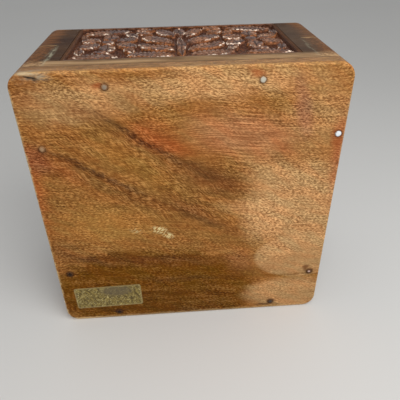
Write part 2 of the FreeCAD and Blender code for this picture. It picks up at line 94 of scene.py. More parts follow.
# Ground of the carving: punch marks, waves, and how far the carver's hand strays
PUNCH_PITCH = 1.05
PUNCH_RADIUS = 0.3
PUNCH_DEPTH = 0.36
PUNCH_CELLS = 256
GROUND_RISE = 0.2
GROUND_WAVE = 0.12
SLOW_WOBBLE = 0.22
FINE_WOBBLE = 0.12

# Leaves and flower buttons: lengths in millimetres, depths and tops as shares of the carving's height
LEAF_LOBE = 1.5
LEAF_SLOPE = 0.45
LEAF_TAPER = 0.8
LEAF_TOP = 1.04
LEAF_DOME = 0.14
LOBE_DEPTH = 0.12
MIDRIB_WIDTH = 0.3
MIDRIB_DEPTH = 0.5
VEIN_DEPTH = 0.34
VEIN_SLANT = 0.9
BUTTON_REACH = 1.05
BUTTON_SLOPE = 0.3
BUTTON_TOP = 0.95
DIMPLE_DEPTH = 0.4
DIMPLE_REACH = 0.3

# Thumb dip in the lid's front edge, and steps of the round edge at its back
DIP_REACH = 7.5
DIP_STRETCH = 1.3
DIP_DEPTH = 1.5
LID_ARC_STEPS = 16

# Room for the stop pegs and the lid's pins in the sculpted pieces
PANEL_TRAVEL = 30.0
PEG_GAP = 0.3
PEG_SLOT_DEPTH = 1.5
PIN_GAP = 0.05
PIN_END_GAP = 0.3
CUTTER_SIDES = 40

# Sticker and nail heads on the base
STICKER_CENTRE = (-33.1, 38.7)
STICKER_LENGTH = 26.0
STICKER_HEIGHT = 10.9
STICKER_CORNER = 0.9
STICKER_LEAST_CORNER = 0.15
STICKER_CORNER_STEPS = 6
STICKER_THICKNESS = 0.1
STICKER_LIFT = 0.01
STICKER_TURN = -1.2
STICKER_BORDER = 0.6
STICKER_PRESS = 0.03
STICKER_PRESS_SLOPE = 0.2
NAIL_HEAD = 2.2
NAIL_DOME = 0.3
NAIL_DENT = 0.12

# Leaves of the carving: base across and up from the field's middle, angle, length, width
SIDE_STEM = ((0, -20.2, 90, 28, 3.8), (0, 7.4, 90, 12.6, 5))
SIDE_PAIRS = (
    (1.6, -17.4, 8, 16.6, 6.6), (1.8, -10.4, 22, 13.6, 6.8), (1.8, -2.4, 40, 16.4, 7),
    (2, 7.4, 60, 12.8, 6), (19.4, -17.2, 2, 17, 6), (16.6, 17.4, -8, 19.6, 6.2),
    (9.6, 11, 30, 8, 4.6), (15.6, -12.8, 62, 7.2, 4), (32.8, -14.2, 80, 7.4, 4),
    (34.4, 6, 88, 7.6, 3.8), (8.2, 18, 0, 8.6, 4.2), (15.4, 7.8, 55, 7.8, 4),
    (22.4, -12.8, 10, 7.6, 3.4), (9.4, 4.2, 22, 5.6, 3.4), (10.2, -4.4, 12, 5.4, 3),
)
LID_QUARTER = (
    (20.4, 20.4, 45, 15, 7.6), (25.2, 20, -52, 11.4, 5.6), (20, 25.2, 142, 11.4, 5.6),
    (19.4, 0, 0, 12.8, 7), (20.6, 6.2, 25, 9.4, 5.2), (20.6, -6.2, -25, 9.4, 5.2),
    (15.2, 15.2, 45, 7.2, 4.6), (29.4, 5, 38, 4.6, 3.2), (29.4, -5, -38, 4.6, 3.2),
)

# Flowers: middles, radius of the button, and rings of petals (count, start, length, width, first angle)
SIDE_FLOWERS = ((-25.0, 0.4), (25.0, 0.4))
SIDE_BUTTON = 2.4
SIDE_PETALS = (6, 2.9, 8.6, 6.6, 30)
LID_FLOWER = (0, 0)
LID_BUTTON = 3.0
LID_PETALS = ((8, 4, 12, 7.4, 0), (8, 11.6, 9.6, 6.4, 22.5))


def smooth_step(values, low, high):
    """0 below low, 1 above high, and an eased rise between."""
    t = np.clip((values - low) / (high - low), 0, 1)
    return t * t * (3 - 2 * t)


def petals(centre, count, start, length, width, first_angle):
    """A ring of leaves round a centre."""
    ring = []
    for step in range(count):
        angle = first_angle + 360 * step / count
        across = centre[0] + start * math.cos(math.radians(angle))
        up = centre[1] + start * math.sin(math.radians(angle))
        ring.append((across, up, angle, length, width))
    return ring


def side_leaves():
    """Every leaf and flower button of a wall's carving."""
    leaves = list(SIDE_STEM)
    for across, up, angle, length, width in SIDE_PAIRS:
        leaves.append((across, up, angle, length, width))
        leaves.append((-across, up, 180 - angle, length, width))
    for flower in SIDE_FLOWERS:
        leaves += petals(flower, *SIDE_PETALS)
    return leaves, [(*flower, SIDE_BUTTON) for flower in SIDE_FLOWERS]


def lid_leaves():
    """Every leaf and flower button of the lid's carving."""
    leaves = []
    for ring in LID_PETALS:
        leaves += petals(LID_FLOWER, *ring)
    for step in range(4):
        cos, sin = math.cos(math.radians(90 * step)), math.sin(math.radians(90 * step))
        for across, up, angle, length, width in LID_QUARTER:
            turned = (across * cos - up * sin, across * sin + up * cos)
            leaves.append((*turned, angle + 90 * step, length, width))
    return leaves, [(*LID_FLOWER, LID_BUTTON)]


def leaf_relief(across, up, leaf):
    """Outline of one leaf, 1 on it and 0 off it, and its height cut by a midrib and side veins."""
    base_across, base_up, angle, length, width = leaf
    cos, sin = math.cos(math.radians(angle)), math.sin(math.radians(angle))
    along = ((across - base_across) * cos + (up - base_up) * sin) / length
    aside = ((up - base_up) * cos - (across - base_across) * sin) / (width / 2)
    inside = np.clip(along, 0, 1)
    lobes = LOBE_DEPTH * np.abs(np.sin(math.pi * along * length / LEAF_LOBE))
    edge = (4 * inside * (1 - inside)) ** LEAF_TAPER - np.abs(aside) - lobes
    outline = smooth_step(edge * width / 2, 0.0, LEAF_SLOPE)
    midrib = MIDRIB_DEPTH * np.exp(-(aside * width / 2 / MIDRIB_WIDTH) ** 2)
    slant = np.abs(np.sin(math.pi * (along * length / LEAF_LOBE - np.abs(aside) * VEIN_SLANT)))
    veins = VEIN_DEPTH * (1 - slant) ** 2
    dome = LEAF_DOME * np.clip(1 - edge, 0, 1)
    return outline, outline * (LEAF_TOP - np.maximum(midrib, veins) - dome)


def button_relief(across, up, button):
    """Outline and height of one round flower button with a dimpled middle."""
    centre_across, centre_up, radius = button
    distance = np.hypot(across - centre_across, up - centre_up) / radius
    outline = smooth_step(BUTTON_REACH - distance, 0, BUTTON_SLOPE)
    return outline, outline * (BUTTON_TOP - DIMPLE_DEPTH * np.exp(-(distance / DIMPLE_REACH) ** 2))


def punched_ground(across, up, seed):
    """Depth of the small punch marks on the ground, one to each cell of a jittered grid."""
    column = np.floor(across / PUNCH_PITCH).astype(int)
    row = np.floor(up / PUNCH_PITCH).astype(int)
    jitter = np.random.default_rng(seed).uniform(0.3, 0.7, (2, PUNCH_CELLS, PUNCH_CELLS))
    centre_across = (column + jitter[0, column % PUNCH_CELLS, row % PUNCH_CELLS]) * PUNCH_PITCH
    centre_up = (row + jitter[1, column % PUNCH_CELLS, row % PUNCH_CELLS]) * PUNCH_PITCH
    squared = (across - centre_across) ** 2 + (up - centre_up) ** 2
    return PUNCH_DEPTH * np.exp(-squared / PUNCH_RADIUS ** 2)


def carved_field(across, up, ornament, half_width, half_height, seed):
    """Depth of a hand-carved field below the board's face, and its relief, at places from its middle.

    The relief is 1 on the leaves and 0 on the ground and the border, which has no depth.
    """
    leaves, buttons = ornament
    fine_across = FINE_WOBBLE * np.sin(across / 1.1 + up / 1.7)
    fine_up = FINE_WOBBLE * np.sin(up / 1.3 - across / 1.9)
    strayed_across = across + SLOW_WOBBLE * np.sin(up / 2.3 + seed) + fine_across
    strayed_up = up + SLOW_WOBBLE * np.sin(across / 2.7 + 2 * seed) + fine_up
    shapes = [leaf_relief(strayed_across, strayed_up, leaf) for leaf in leaves]
    shapes += [button_relief(strayed_across, strayed_up, button) for button in buttons]
    outline = np.zeros_like(across)
    height = np.zeros_like(across)
    for shape_outline, shape_height in shapes:
        outline = np.maximum(outline, shape_outline)
        height = np.maximum(height, shape_height)
    ground = CARVING_DEPTH + punched_ground(across, up, seed) - GROUND_RISE
    ground = ground + GROUND_WAVE * np.sin(across / 2.9 + seed) * np.sin(up / 2.3)
    depth = ground + (CARVING_TOP_DEPTH - ground) * np.clip(height, 0, 1)
    scallops = SCALLOP_DEPTH * np.abs(np.cos(math.pi * across / SCALLOP_PITCH))
    inside = np.minimum(half_width - np.abs(across), half_height - np.maximum(-up, up + scallops))
    carved = smooth_step(inside, 0, CARVING_SLOPE)
    return depth * carved, outline * carved


def new_piece(name, mesh):
    """An object in the scene made from a mesh that is finished."""
    data = bpy.data.meshes.new(name)
    mesh.to_mesh(data)
    mesh.free()
    piece = bpy.data.objects.new(name, data)
    bpy.context.scene.collection.objects.link(piece)
    return piece


def carved_prism(name, profile, starts, ends, cell, carve, place):
    """A closed board with one carved face.

    Its profile lies in (side, depth) and runs along a third axis. The carved face goes from the
    profile's last point to its first. There carve gives how far it is sunk, and the carving's depth
    and relief. Place turns (side, depth, run) into the frame.
    """
    sides = np.linspace(starts[0], ends[0], round((ends[0] - starts[0]) / cell) + 1)
    runs = np.linspace(starts[1], ends[1], round((ends[1] - starts[1]) / cell) + 1)
    side, run = np.meshgrid(sides, runs, indexing="ij")
    sunk, depths, reliefs = carve(side, run)
    mesh = bmesh.new()
    depth_layer = mesh.verts.layers.float.new("carved_depth")
    relief_layer = mesh.verts.layers.float.new("carved_relief")
    grid = []
    for column in range(len(sides)):
        line = []
        for row in range(len(runs)):
            vertex = mesh.verts.new(place(sides[column], sunk[column, row], runs[row]))
            vertex[depth_layer] = depths[column, row]
            vertex[relief_layer] = reliefs[column, row]
            line.append(vertex)
        grid.append(line)
    low = [mesh.verts.new(place(*point, starts[1])) for point in profile]
    high = [mesh.verts.new(place(*point, ends[1])) for point in profile]
    for left, right in zip(grid, grid[1:]):
        for row in range(len(runs) - 1):
            face = mesh.faces.new((left[row], right[row], right[row + 1], left[row + 1]))
            face.smooth = True
    mesh.faces.new(grid[-1] + [high[0], low[0]])
    for step in range(len(profile) - 1):
        mesh.faces.new((low[step], low[step + 1], high[step + 1], high[step]))
    mesh.faces.new([low[-1], high[-1]] + grid[0][::-1])
    mesh.faces.new([line[0] for line in grid] + low)
    mesh.faces.new([line[-1] for line in grid] + high)
    bmesh.ops.recalc_face_normals(mesh, faces=mesh.faces)
    piece = new_piece(name, mesh)
    piece.data.set_sharp_from_angle(angle=math.radians(SHARP_ANGLE))
    return piece


def cut_away(piece, cutter):
    """Take the cutter's volume out of a piece, and the cutter out of the scene."""
    modifier = piece.modifiers.new("cut", "BOOLEAN")
    modifier.operation = "DIFFERENCE"
    modifier.solver = "EXACT"
    modifier.object = cutter
    whole = piece.data
    graph = bpy.context.evaluated_depsgraph_get()
    piece.data = bpy.data.meshes.new_from_object(piece.evaluated_get(graph))
    piece.modifiers.clear()
    bpy.data.meshes.remove(whole)
    bpy.data.objects.remove(cutter)


def round_cutter(radius, length, axis, centres, turn):
    """A round bar along an axis, or a slot where it is given two centres, used as a cutter."""
    mesh = bmesh.new()
    upright = Vector((0, 0, 1)).rotation_difference(Vector(axis)).to_matrix().to_4x4()
    for centre in centres:
        place = turn @ Matrix.Translation(Vector(centre) * MM) @ upright
        bmesh.ops.create_cone(mesh, cap_ends=True, segments=CUTTER_SIDES, radius1=radius * MM,
                              radius2=radius * MM, depth=length * MM, matrix=place)
    if len(centres) > 1:
        hull = bmesh.ops.convex_hull(mesh, input=mesh.verts)
        inner = [part for part in hull["geom_interior"] if isinstance(part, bmesh.types.BMVert)]
        bmesh.ops.delete(mesh, geom=inner, context="VERTS")
    return new_piece("cutter", mesh)


def node_points(node):
    """Vertices of a CAD node in millimetres."""
    return np.array([vertex.co for vertex in NODES[node].data.vertices]) / MM


def plate_half():
    """Half the width of a panel's face, without its tongues."""
    points = node_points("front_panel")
    return points[np.isclose(points[:, 1], points[:, 1].min(), atol=SAME_PLACE)][:, 0].max()


def make_carved_panel(wall):
    """Sculpted stand-in for a wall's panel, with the plate and tongues of the CAD one."""
    node = f"{wall}_panel"
    points = node_points("front_panel")
    _, face, bottom = points.min(axis=0)
    tongue_half, back, top = points.max(axis=0)
    tongue = points[np.isclose(points[:, 0], tongue_half, atol=SAME_PLACE)][:, 1] - face
    half = plate_half()
    right = [(half, tongue.min()), (tongue_half, tongue.min()), (tongue_half, tongue.max()),
             (half, tongue.max()), (half, back - face)]
    profile = right + [(-across, depth) for across, depth in reversed(right)]
    field_low, field_high = bottom + CARVING_MARGIN, top - CARVING_TOP_MARGIN
    middle = (field_low + field_high) / 2
    turn = Matrix.Rotation(math.radians(TURNS[wall]), 4, "Z")

    def carve(across, height):
        depth, relief = carved_field(across, height - middle, side_leaves(), half - CARVING_MARGIN,
                                     (field_high - field_low) / 2, SEEDS[wall])
        return depth, depth, relief

    def place(across, sunk, height):
        return turn @ (Vector((across, face + sunk, height)) * MM)

    corners = (-half, bottom), (half, top)
    panel = carved_prism(f"{wall}_carving", profile, *corners, CARVING_CELL, carve, place)
    if wall in SLIDING:
        peg_low, peg_high = (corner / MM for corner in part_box("front_stop_peg"))
        peg = (peg_low + peg_high) / 2
        slot_radius = (peg_high.x - peg_low.x) / 2 + PEG_GAP
        ends = ((peg.x, back, peg.z), (peg.x, back, peg.z - PANEL_TRAVEL))
        cut_away(panel, round_cutter(slot_radius, 2 * PEG_SLOT_DEPTH, (0, 1, 0), ends, turn))
    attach(panel, f"{wall}_slider" if wall in SLIDING else "case")
    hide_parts(node)
    return panel


def make_carved_lid():
    """Sculpted stand-in for the lid, round about its pins and dipped for a thumb in front."""
    low, high = (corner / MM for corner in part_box("lid_board"))
    thickness = high.z - low.z
    radius = thickness / 2
    pivot = high.y - radius
    half_field = high.x - LID_BORDER
    profile = []
    for step in range(1, LID_ARC_STEPS + 1):
        angle = math.pi / 2 * (1 - 2 * step / LID_ARC_STEPS)
        profile.append((pivot + radius * math.cos(angle), radius * (1 - math.sin(angle))))
    profile.append((low.y, thickness))

    def carve(along, across):
        depth, relief = carved_field(across, along, lid_leaves(), half_field, half_field, LID_SEED)
        dip = np.hypot(across / DIP_STRETCH, along - low.y) / DIP_REACH
        return depth + DIP_DEPTH * smooth_step(1 - dip, 0, 1), depth, relief

    def place(along, sunk, across):
        return Vector((across, along, high.z - sunk)) * MM

    lid = carved_prism("lid_carving", profile, (low.y, low.x), (pivot, high.x), LID_CELL, carve, place)
    pin_low, pin_high = (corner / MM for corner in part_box("right_hinge_pin"))
    bore_depth = high.x - pin_low.x + PIN_END_GAP
    for end in (low.x, high.x):
        bore = round_cutter((pin_high.z - pin_low.z) / 2 + PIN_GAP, 2 * bore_depth, (1, 0, 0),
                            ((end, pivot, high.z - radius),), Matrix.Identity(4))
        cut_away(lid, bore)
    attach(lid, "lid")
    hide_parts("lid_board")
    return lid


def sticker_outline(inset):
    """Points round the sticker's rounded outline, from its middle, at a distance in from its edge."""
    radius = max(STICKER_CORNER - inset, STICKER_LEAST_CORNER)
    points = []
    for quarter, (side, end) in enumerate(((1, 1), (-1, 1), (-1, -1), (1, -1))):
        centre_across = side * (STICKER_LENGTH / 2 - inset - radius)
        centre_up = end * (STICKER_HEIGHT / 2 - inset - radius)
        for step in range(STICKER_CORNER_STEPS + 1):
            angle = math.radians(90 * (quarter + step / STICKER_CORNER_STEPS))
            across = centre_across + radius * math.cos(angle)
            points.append((across, centre_up + radius * math.sin(angle)))
    return points


def make_sticker():
    """Bare foil sticker near one corner of the base, a little askew, with a pressed border."""
    turn = Matrix.Rotation(math.radians(STICKER_TURN), 4, "Z")
    place = Matrix.Translation(Vector((*STICKER_CENTRE, 0.0)) * MM) @ turn
    face = STICKER_LIFT + STICKER_THICKNESS
    rings = ((0.0, STICKER_LIFT), (0.0, face), (STICKER_BORDER, face),
             (STICKER_BORDER + STICKER_PRESS_SLOPE, face - STICKER_PRESS))
    mesh = bmesh.new()
    loops = []
    for inset, height in rings:
        outline = [Vector((across, up, -height)) * MM for across, up in sticker_outline(inset)]
        loops.append([mesh.verts.new(place @ point) for point in outline])
    for outer, inner in zip(loops, loops[1:]):
        for step in range(len(outer)):
            after = (step + 1) % len(outer)
            mesh.faces.new((outer[step], outer[after], inner[after], inner[step]))
    mesh.faces.new(loops[0][::-1])
    mesh.faces.new(loops[-1])
    bmesh.ops.recalc_face_normals(mesh, faces=mesh.faces)
    sticker = new_piece("foil_sticker", mesh)
    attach(sticker, "case")
    return sticker


def nail_places():
    """Middle of every nail's head on the base, from the front left one round by the right."""
    points = node_points("base_nails")
    heads = points[points[:, 2] < points[:, 2].min() + 10 * SAME_PLACE]
    places = []
    while len(heads):
        near = np.hypot(*(heads[:, :2] - heads[0, :2]).T) < 1.5 * NAIL_HEAD
        places.append(heads[near].mean(axis=0))
        heads = heads[~near]
    return places


def make_nail_head(index, place, seed):
    """Hammered dome on one nail, a little out of round."""
    random = np.random.default_rng(seed)
    squash = random.uniform(0.9, 1.0, 2)
    mesh = bmesh.new()
    bmesh.ops.create_uvsphere(mesh, u_segments=20, v_segments=12, radius=1.0)
    for vertex in mesh.verts:
        dent = 1 + NAIL_DENT * math.sin(4 * vertex.co.x + seed) * math.cos(3 * vertex.co.y - seed)
        rise = math.copysign(abs(vertex.co.z) ** 0.5, vertex.co.z)
        vertex.co = Vector((place[0] + vertex.co.x * NAIL_HEAD / 2 * squash[0],
                            place[1] + vertex.co.y * NAIL_HEAD / 2 * squash[1],
                            place[2] + rise * NAIL_DOME * dent)) * MM
    for face in mesh.faces:
        face.smooth = True
    head = new_piece(f"nail_head_{index}", mesh)
    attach(head, "case")
    return head


class Nodes:
    """The nodes of a material or a world."""

    def __init__(self, owner):
        owner.use_nodes = True
        self.tree = owner.node_tree

    def feed(self, socket, value):
        """Set an input to a plain value, or link an output socket to it."""
        if isinstance(value, bpy.types.NodeSocket):
            self.tree.links.new(value, socket)
        else:
            socket.default_value = value

    def add(self, kind, inputs=None, **settings):
        """A node with some properties and inputs set; an input is a value or an output socket."""
        node = self.tree.nodes.new(kind)
        for name, value in settings.items():
            setattr(node, name, value)
        for name, value in (inputs or {}).items():
            self.feed(node.inputs[name], value)
        return node

    def math(self, operation, first, second=0.0):
        """A difference, power or the like of two values."""
        return self.add("ShaderNodeMath", {0: first, 1: second}, operation=operation).outputs[0]


class Paint(Nodes):
    """One material, painted by short calls; most of them return an output socket."""

    def __init__(self, name, colour):
        self.material = bpy.data.materials.new(name)
        super().__init__(self.material)
        self.colour = colour
        self.shader = self.tree.nodes["Principled BSDF"]
        place = self.add("ShaderNodeTexCoord").outputs["Object"]
        self.place = self.vector("MULTIPLY", place, (1 / MM,) * 3)

    def set(self, **inputs):
        """Inputs of the material's own shader, by name with _ for a space."""
        for name, value in inputs.items():
            self.feed(self.shader.inputs[name.replace("_", " ")], value)

    def vector(self, operation, first, second=(0, 0, 0)):
        """A vector sum or product; LENGTH gives a plain value."""
        node = self.add("ShaderNodeVectorMath", {0: first, 1: second}, operation=operation)
        return node.outputs["Value" if operation == "LENGTH" else "Vector"]

    def plus(self, total, *others):
        """The sum of values."""
        for other in others:
            total = self.math("ADD", total, other)
        return total

    def times(self, product, *others):
        """The product of values."""
        for other in others:
            product = self.math("MULTIPLY", product, other)
        return product

    def axis(self, name):
        """The place along X, Y or Z, in millimetres."""
        return self.add("ShaderNodeSeparateXYZ", {0: self.place}).outputs[name]

    def off_middle(self, which):
        """Distance from the box's middle along X and Y, the MINIMUM or the MAXIMUM of the two."""
        return self.math(which, *(self.math("ABSOLUTE", self.axis(name)) for name in "XY"))

    def ramp(self, value, low, high, to_low=0.0, to_high=1.0):
        """An eased rise between two values, held outside them."""
        inputs = {"Value": value, "From Min": low, "From Max": high, "To Min": to_low, "To Max": to_high}
        node = self.add("ShaderNodeMapRange", inputs, interpolation_type="SMOOTHSTEP")
        return node.outputs["Result"]

    def mapped(self, place, centre, lengths, turn):
        """Coordinates from a centre in which these lengths, turned about Z in degrees, have size 1."""
        inputs = {"Vector": place, "Location": centre, "Scale": lengths,
                  "Rotation": (0, 0, math.radians(turn))}
        return self.add("ShaderNodeMapping", inputs, vector_type="TEXTURE").outputs["Vector"]

    def noise(self, along, across=None, turn=0.0, place=None, axis="X", detail=2.0, roughness=0.5):
        """Smooth noise from about 0 to 1, with spots of one length along an axis and one across it."""
        lengths = [along if name == axis else across or along for name in "XYZ"]
        mapped = self.mapped(place or self.place, (0, 0, 0), lengths, turn)
        inputs = {"Vector": mapped, "Scale": 1.0, "Detail": detail, "Roughness": roughness}
        return self.add("ShaderNodeTexNoise", inputs).outputs["Fac"]

    def swing(self, noise, reach=1.0):
        """A noise spread out from -reach to reach."""
        return self.ramp(noise, 0.3, 0.7, -reach, reach)

    def patch(self, place, centre, radii, turn=0.0, core=0.0):
        """1 in the middle of a soft oval, 0 outside it."""
        return self.ramp(self.vector("LENGTH", self.mapped(place, centre, radii, turn)), 1.0, core)

    def shifted(self, place, noise, reach):
        """A place moved across the grain by a noise, by up to a reach either way."""
        shift = self.times(self.math("SUBTRACT", noise, 0.5), 2 * reach)
        moves = {"X": self.times(shift, 0.5), "Y": shift}
        return self.vector("ADD", place, self.add("ShaderNodeCombineXYZ", moves).outputs[0])

    def mix(self, factor, first, second, blend="MIX"):
        """Two colours mixed by a factor."""
        inputs = {0: factor, 6: first, 7: second}
        return self.add("ShaderNodeMix", inputs, data_type="RGBA", blend_type=blend).outputs[2]

    def lay(self, tone, mask, blend="MIX"):
        """Lay a colour over what is painted so far, as much as a mask from 0 to 1 says."""
        self.colour = self.mix(mask, self.colour, tone, blend)

    def bump(self, height, distance):
        """Small relief from a height, in millimetres."""
        node = self.add("ShaderNodeBump", {"Height": height, "Distance": distance * MM, "Strength": 1.0})
        self.set(Normal=node.outputs["Normal"])

    def finish(self, **inputs):
        """The material, with what is painted as its colour and some more inputs of its shader set."""
        self.set(Base_Color=self.colour, **inputs)
        return self.material


def linear(red, green, blue):
    """A display colour, 0 to 255, as the linear colour that shaders use."""
    return tuple((value / 255 / 12.92 if value <= 10 else ((value / 255 + 0.055) / 1.055) ** 2.4)
                 for value in (red, green, blue)) + (1.0,)


# Colours of the base; two colours on a line are the ends of a mix
HONEY = linear(172, 124, 62)
OLIVE = linear(156, 112, 52)
AMBER = linear(150, 102, 50)
PALE = linear(196, 153, 105)
TAN = linear(181, 139, 93)
CREAM = linear(208, 162, 112)
ROSE = linear(178, 122, 82)
UMBER = linear(110, 67, 0)
BROWN = linear(110, 66, 34)
DARK = linear(62, 34, 20)
RED = linear(164, 82, 38)
RUSSET = linear(160, 94, 60)
WINE = linear(126, 66, 46)
GREY_ROSE = linear(146, 98, 76)
SCUFF = linear(226, 192, 138)
CHALK = linear(240, 216, 156)
BLACK = linear(34, 28, 24)
WORN_GREY = linear(178, 166, 142)
# Sides of the base: their own greyer tone and a painted shade
SIDE_TONE_AND_SHADE = linear(96, 76, 54), linear(150, 122, 92)
WARM_CAST = (1.08, 0.96, 0.88, 1.0)
COOL_CAST = (0.97, 1.0, 0.98, 1.0)
WARM_SHADE = (1.12, 0.95, 0.82, 1.0)
NO_CAST = (1.0, 1.0, 1.0, 1.0)

# Colours of the walls
WALL_WOOD = linear(82, 60, 42), linear(54, 39, 30)
WALL_WORN = linear(100, 64, 38), linear(146, 96, 56)
WALL_BARE = linear(144, 112, 78), linear(194, 158, 116)
DUST = linear(98, 84, 70)
RESIDUE = linear(176, 172, 146)

# Colours of the carving
CARVED_WOOD = linear(158, 100, 60), linear(120, 74, 46)
SMOKE = linear(92, 60, 46)
# Stain of the tops, greyed as a painted sheen
STAIN_AND_SHEEN = linear(86, 76, 74), linear(126, 93, 74)
DEEP_RED = linear(64, 36, 24)
RUBBED_EDGE_AND_GLINT = linear(230, 208, 188)
WORN_LEAF = linear(196, 164, 136)
RIM = linear(62, 37, 24), linear(114, 73, 44)
# Dark of the panel's seam: dirt and a painted shade of the gap
SEAM_DIRT_AND_SHADE = linear(84, 60, 45)

# Colours of the nails, the foil and the floor
RUST = linear(152, 110, 72), linear(118, 82, 52)
RUST_DARK = linear(84, 52, 26)
FOIL_DARK = linear(82, 65, 30)
FOIL_GOLD = linear(150, 128, 68)
FOIL_CREASE_HIGHLIGHT = linear(206, 186, 124)
FOIL_SMEAR = linear(104, 90, 68)
FOIL_BORDER = linear(160, 138, 90)
FLOOR_PALE = linear(214, 213, 210)
FLOOR_GREY = linear(206, 205, 202)

# Shine of each surface, as the specular level of its shader
PLAIN_GLOSS = 0.4
BASE_GLOSS = 0.06
WALL_GLOSS = 0.02
CARVING_GLOSS = 0.05
LID_GLOSS = 0.03
NAIL_GLOSS = 0.1
FOIL_GLOSS = 0.2

# How far apart in the same wood two boards lie whose seeds differ by 1
SEED_STEP = (37.0, 53.0, 71.0)

# A patch of the figure that is even out to here has a crisp, straighter edge
CRISP = 0.85

# Half lengths along Z of the base's patches, and half width of the dark ring round a nail
THROUGH = 60.0
STAIN_REACH = 8.0
NAIL_REACH = 3.0
NAIL_RING = 2.1

# Figure of the base, with one patch of painted shade at its bottom: place from its middle (up in the
# picture is -Y), half lengths, turn, colour, weight, and how far out from its middle, from 0 to 1, the
# patch stays even
BASE_FIGURE = (
    ("umber low left", (-14, 38), (46, 25), 2, UMBER, 0.95, 0.75),
    ("honey left", (-29, 4), (25, 14), 8, HONEY, 0.8, 0.1),
    ("olive by the streaks", (-17, -20), (26, 7), 38, OLIVE, 0.7, 0.1),
    ("tan top left", (-33, -42), (25, 10), -4, TAN, 0.75, 0.3),
    ("pale top", (10, -46), (48, 8), -2, PALE, 0.75, 0.2),
    ("rose upper middle", (19, -29), (26, 12), 8, ROSE, 0.8, 0.3),
    ("red heart", (-8, -28), (17, 7), 30, RED, 0.75, 0.1),
    ("red by the pale", (28, -28), (9, 4), 45, RED, 0.3, 0.1),
    ("brown middle", (9, -13), (21, 9), 20, BROWN, 0.65, 0.1),
    ("brown below middle", (3, 1), (22, 5.5), 33, BROWN, 0.5, 0),
    ("pale upper right", (43, -34), (16, 16), 30, PALE, 0.45, 0.2),
    ("rose upper right", (36.5, -37), (14, 4), 77, GREY_ROSE, 0.6, 0.2),
    ("pale right", (40, 0), (26, 27), 6, PALE, 0.85, 0.4),
    ("pale by the middle", (27, -15), (13, 9), 20, PALE, 0.6, 0.2),
    ("pale wedge", (18, -1), (13, 5), 10, PALE, 0.5, 0),
    ("cream by the middle", (27, 2), (11, 17), 12, CREAM, 0.65, 0.2),
    ("russet low right", (19, 25), (8, 9), 0, RUSSET, 0.35, 0.2),
    ("pale low right", (46, 22), (23, 13), 0, PALE, 0.8, 0.9),
    ("pale bottom right", (40, 43), (23, 9.5), 2, PALE, 0.75, 0.6),
    ("right band", (38, 32.5), (26, 1.8), 3, UMBER, 0.55, 0),
    ("red left edge", (-52, -10), (7, 26), 0, RED, 0.6, 0.1),
    ("red by the left nail", (-42, -20), (13, 7), 32, RED, 0.4, 0),
    ("wine by the left nail", (-48, -24), (7, 9), 0, WINE, 0.55, 0.2),
    ("red right edge", (51.5, -18), (5.5, 27), -4, RUSSET, 0.75, 0.2),
    ("brown low left edge", (-47, 14), (10, 8), 0, BROWN, 0.4, 0),
    ("brown at the upper streak", (-31, -39), (7.5, 4), 20, BROWN, 0.4, 0),
    ("brown top left corner", (-47, -45), (10, 9), 0, BROWN, 0.3, 0.1),
    ("low band", (-12, 21), (46, 4), 4, BROWN, 0.6, 0),
    ("low band left", (-38, 19), (15, 2.2), 22, DARK, 0.5, 0),
    ("low line", (-2, 31), (34, 2), 3, DARK, 0.35, 0),
    # Painted shade, darker towards the bottom of the picture
    ("shade at the bottom", (-8, 43), (42, 10), 2, DARK, 0.16, 0.4),
    ("bottom edge", (-4, 50), (46, 3), -1, DARK, 0.35, 0),
)

# Dark broken streaks across the base: one end, the other end, half width, weight
BASE_STREAKS = (
    ("upper", (-35, -44), (6, -14), 1.8, 0.7),
    ("upper shade", (-36, -42), (12, -10), 5.5, 0.3),
    ("upper end", (-8, -23), (20, -9), 2.6, 0.4),
    ("lower", (-52, -31), (-6, -3), 1.8, 0.75),
    ("lower shade", (-54, -29), (0, 2), 5.5, 0.3),
    ("tail", (-14, -8), (22, 13), 2.2, 0.35),
)

# Small stains and marks on the base: place, half lengths, colour, weight
BASE_STAINS = (
    ("rust, front left nail", (-25, -46), (3, 2.2), RED, 0.7),
    ("rust, front right nail", (21.5, -48.8), (3.2, 2.4), RED, 0.6),
    ("rust, right front nail", (48.5, -26), (3, 4), RED, 0.6),
    ("rust, right back nail", (45.6, 29.8), (2.6, 2), BROWN, 0.8),
    ("dent, front edge", (-43.7, -49.2), (3, 0.8), BLACK, 1),
    ("upper dent, right edge", (51.4, -37), (1.2, 3), WINE, 0.85),
    ("middle dent, right edge", (51.4, -15), (1.1, 2.6), WINE, 0.8),
    ("dent, back edge", (-31, 47.2), (2.6, 0.9), DARK, 0.8),
    ("dent, back right nail", (31, 49.2), (8, 1), DARK, 0.7),
)

# Pale scuffs near the middle of the base: place, half lengths, weight
BASE_SCUFFS = (
    ("middle", (-11, 6.9), (4, 2.2), 1),
    ("right", (-7.9, 9.7), (2.8, 1.8), 1),
    ("left", (-19.3, 6.8), (3, 1.6), 0.5),
)

# Nail heads in the order of their places: colour of the middle, and its half width; the palest middles
# are painted highlights on bare steel
NAIL_MIDDLES_AND_HIGHLIGHTS = (
    ("front left", linear(150, 132, 112), 0.9),
    ("front right", linear(196, 190, 172), 1.1),
    ("right front", linear(238, 243, 246), 1.25),
    ("right back", linear(214, 180, 166), 0.6),
    ("back right", linear(70, 62, 56), 0.9),
    ("back left", linear(44, 28, 17), 1.0),
    ("left back", linear(44, 28, 17), 1.0),
    ("left front", linear(168, 134, 100), 0.8),
)

# Marks on the base, walls and foil: places and half lengths
WORN_CORNER = ((-45, -50.5, 0), (8, 3.2, 8))
DUSTY_END = ((INNER - 1, -HALF_SIDE, 30), (9, 5, 26))
RESIDUE_HEIGHT = 18.0
RESIDUE_LENGTHS = (1.7, 4, 16)
FOIL_MARK = ((STICKER_CENTRE[0] + 3.4, STICKER_CENTRE[1] - 3, 0), (8, 3.6, 9))


